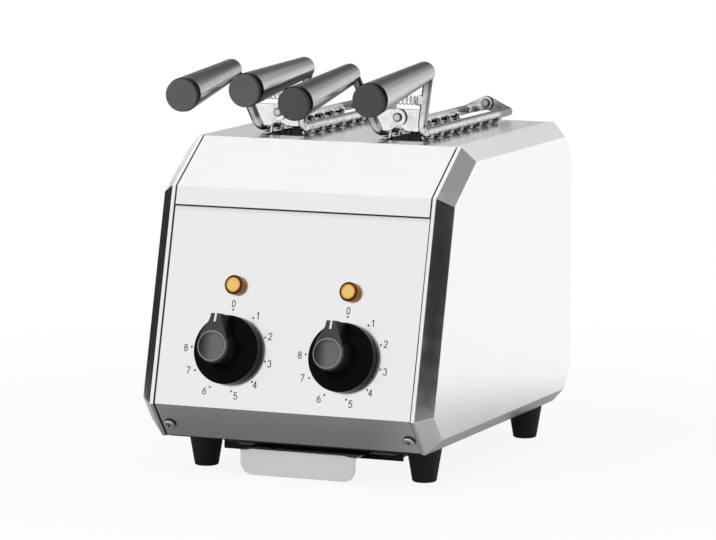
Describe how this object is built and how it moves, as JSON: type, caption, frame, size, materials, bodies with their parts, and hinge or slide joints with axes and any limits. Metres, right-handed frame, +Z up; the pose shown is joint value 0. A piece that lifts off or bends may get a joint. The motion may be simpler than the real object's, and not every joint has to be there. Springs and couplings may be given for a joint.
{
  "type": "two-slot tong toaster",
  "caption": "Countertop toaster with a folded stainless body, leaning control panel, timer knobs, amber lamps, sprung lift-out tongs and a slide-out crumb tray.",
  "frame": {"origin": "middle of the box at the height of the surface that the feet stand on", "axes": "+Z up, +Y from the control panel to the rear, +X to the right as seen from the front"},
  "size_m": [0.2164, 0.3056, 0.283],
  "materials": {
    "body_steel": "fine brushed stainless sheet with crisp folds",
    "screw_steel": "plain bright fasteners",
    "inner_sheet": "dull aluminised sheet",
    "quartz": "milky quartz tube",
    "insulator": "cream glazed insulator",
    "timer_case": "dark moulded case",
    "black_plastic": "black moulded plastic, half gloss",
    "foot_rubber": "black moulded rubber",
    "amber_lens": "amber lens",
    "tong_steel": "polished wire and plate",
    "handle_steel": "polished tapered tube",
    "handle_cap": "dark grey end cap",
    "spring_steel": "bright spring wire"
  },
  "bodies": {
    "body": {"base_plate": "body_steel", "side_frame_left": "body_steel", "side_frame_right": "body_steel", "side_panel_left": "body_steel", "side_panel_right": "body_steel", "top_cover": "body_steel", "control_panel": "body_steel", "rear_panel": "body_steel", "tray_rail_left": "body_steel", "tray_rail_right": "body_steel", "control_panel_screws": "screw_steel", "rear_panel_screws": "screw_steel", "foot_screws": "screw_steel", "front_bulkhead": "inner_sheet", "rear_bulkhead": "inner_sheet", "reflector_left": "inner_sheet", "reflector_right": "inner_sheet", "reflector_centre": "inner_sheet", "heater_tubes_left_outer": "quartz", "heater_tubes_left_inner": "quartz", "heater_tubes_right_inner": "quartz", "heater_tubes_right_outer": "quartz", "heater_end_caps": "insulator", "terminal_block": "insulator", "timer_left": "timer_case", "timer_right": "timer_case", "lamp_holder_left": "timer_case", "lamp_holder_right": "timer_case", "cord_gland": "black_plastic", "foot_front_left": "foot_rubber", "foot_front_right": "foot_rubber", "foot_rear_left": "foot_rubber", "foot_rear_right": "foot_rubber", "lamp_lens_left": "amber_lens", "lamp_lens_right": "amber_lens"},
    "crumb_tray": {"crumb_tray": "body_steel"},
    "knob_left": {"knob_left": "black_plastic", "timer_shaft_left": "screw_steel"},
    "knob_right": {"knob_right": "black_plastic", "timer_shaft_right": "screw_steel"},
    "left_tong": {"left_tong_rivets": "tong_steel", "left_tong_spring": "spring_steel"},
    "left_tong_left_half": {"left_tong_left_frame": "tong_steel", "left_tong_left_grid": "tong_steel", "left_tong_left_handle": "handle_steel", "left_tong_left_cap": "handle_cap"},
    "left_tong_right_half": {"left_tong_right_frame": "tong_steel", "left_tong_right_grid": "tong_steel", "left_tong_right_handle": "handle_steel", "left_tong_right_cap": "handle_cap"},
    "right_tong": {"right_tong_rivets": "tong_steel", "right_tong_spring": "spring_steel"},
    "right_tong_left_half": {"right_tong_left_frame": "tong_steel", "right_tong_left_grid": "tong_steel", "right_tong_left_handle": "handle_steel", "right_tong_left_cap": "handle_cap"},
    "right_tong_right_half": {"right_tong_right_frame": "tong_steel", "right_tong_right_grid": "tong_steel", "right_tong_right_handle": "handle_steel", "right_tong_right_cap": "handle_cap"}
  },
  "joints": [
    {"name": "tray_slide", "type": "slide", "parent": "body", "child": "crumb_tray", "axis": [0, -1, 0], "range_m": [0, 0.2]},
    {"name": "knob_left_turn", "type": "hinge", "parent": "body", "child": "knob_left", "pos_m": [-0.0426, -0.12111, 0.08913], "axis": [0, 0.9673, -0.2538], "range_deg": [0, 272]},
    {"name": "knob_right_turn", "type": "hinge", "parent": "body", "child": "knob_right", "pos_m": [0.0426, -0.12111, 0.08913], "axis": [0, 0.9673, -0.2538], "range_deg": [0, 272]},
    {"name": "left_tong_lift", "type": "slide", "parent": "body", "child": "left_tong", "axis": [0, 0, 1], "range_m": [0, 0.15]},
    {"name": "left_tong_left_squeeze", "type": "hinge", "parent": "left_tong", "child": "left_tong_left_half", "pos_m": [-0.045, -0.03298, 0.2441], "axis": [0, 0.9995, -0.0317], "range_deg": [0, 5], "stiffness_Nm_per_rad": 1.2, "springref_deg": -14.32, "deforming": ["left_tong_spring"]},
    {"name": "left_tong_right_squeeze", "type": "hinge", "parent": "left_tong", "child": "left_tong_right_half", "pos_m": [-0.045, -0.03298, 0.2441], "axis": [0, 0.9995, -0.0317], "range_deg": [-5, 0], "stiffness_Nm_per_rad": 1.2, "springref_deg": 14.32},
    {"name": "right_tong_lift", "type": "slide", "parent": "body", "child": "right_tong", "axis": [0, 0, 1], "range_m": [0, 0.15]},
    {"name": "right_tong_left_squeeze", "type": "hinge", "parent": "right_tong", "child": "right_tong_left_half", "pos_m": [0.045, -0.03298, 0.2441], "axis": [0, 0.9995, -0.0317], "range_deg": [0, 5], "stiffness_Nm_per_rad": 1.2, "springref_deg": -14.32, "deforming": ["right_tong_spring"]},
    {"name": "right_tong_right_squeeze", "type": "hinge", "parent": "right_tong", "child": "right_tong_right_half", "pos_m": [0.045, -0.03298, 0.2441], "axis": [0, 0.9995, -0.0317], "range_deg": [-5, 0], "stiffness_Nm_per_rad": 1.2, "springref_deg": 14.32}
  ],
  "couplings": [
    {"joint": "left_tong_right_squeeze", "follows": "left_tong_left_squeeze", "ratio": -1},
    {"joint": "right_tong_right_squeeze", "follows": "right_tong_left_squeeze", "ratio": -1}
  ]
}
